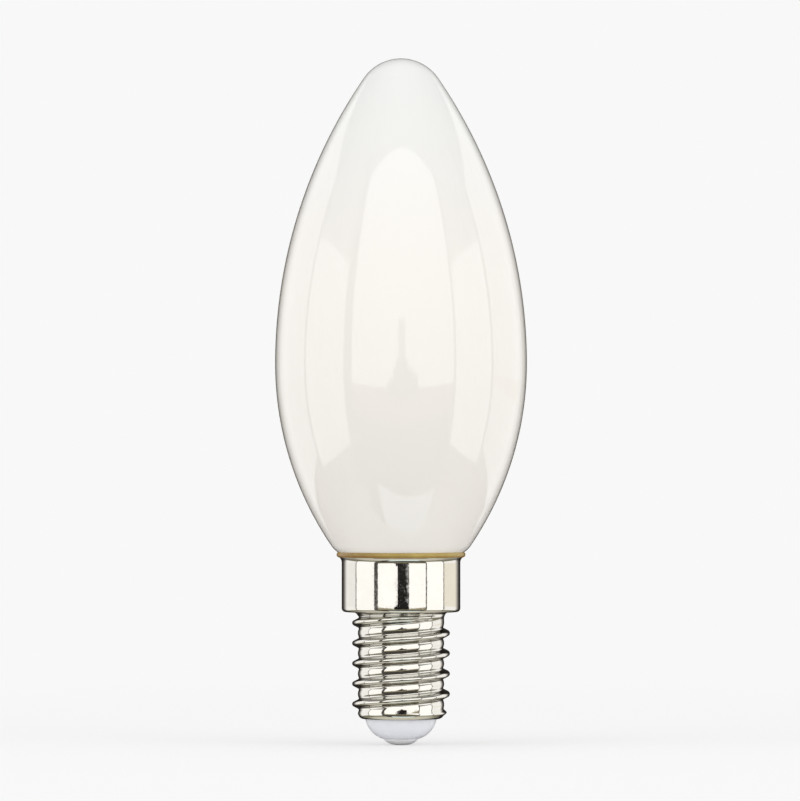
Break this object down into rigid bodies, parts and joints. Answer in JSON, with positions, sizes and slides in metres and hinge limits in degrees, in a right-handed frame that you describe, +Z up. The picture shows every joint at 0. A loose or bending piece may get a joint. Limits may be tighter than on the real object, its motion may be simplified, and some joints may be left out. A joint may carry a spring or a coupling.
{
  "type": "candle bulb",
  "caption": "Frosted candle-shaped lamp with a sheet-metal screw cap, a conical insulator and a centre contact, for a small screw lampholder.",
  "frame": {"origin": "centre of the flat on the centre contact, the lowest point of the lamp", "axes": "+Z up the lamp's axis from the contact through the cap to the glass tip; +X is where the thread's first full crest is counted from"},
  "size_m": [0.035, 0.035, 0.0954],
  "materials": {
    "frosted_glass": "milky inside, glossy outside",
    "nickel_plate": "bright nickel plate on sheet metal",
    "basing_cement": "golden-brown resin, slightly glossy",
    "white_insulator": "smooth white, slightly glossy",
    "contact_plate": "bright tinned metal"
  },
  "bodies": {
    "root": {"glass_bulb": "frosted_glass", "basing_cement": "basing_cement", "screw_cap": "nickel_plate", "insulator": "white_insulator", "centre_contact": "contact_plate"}
  },
  "joints": []
}
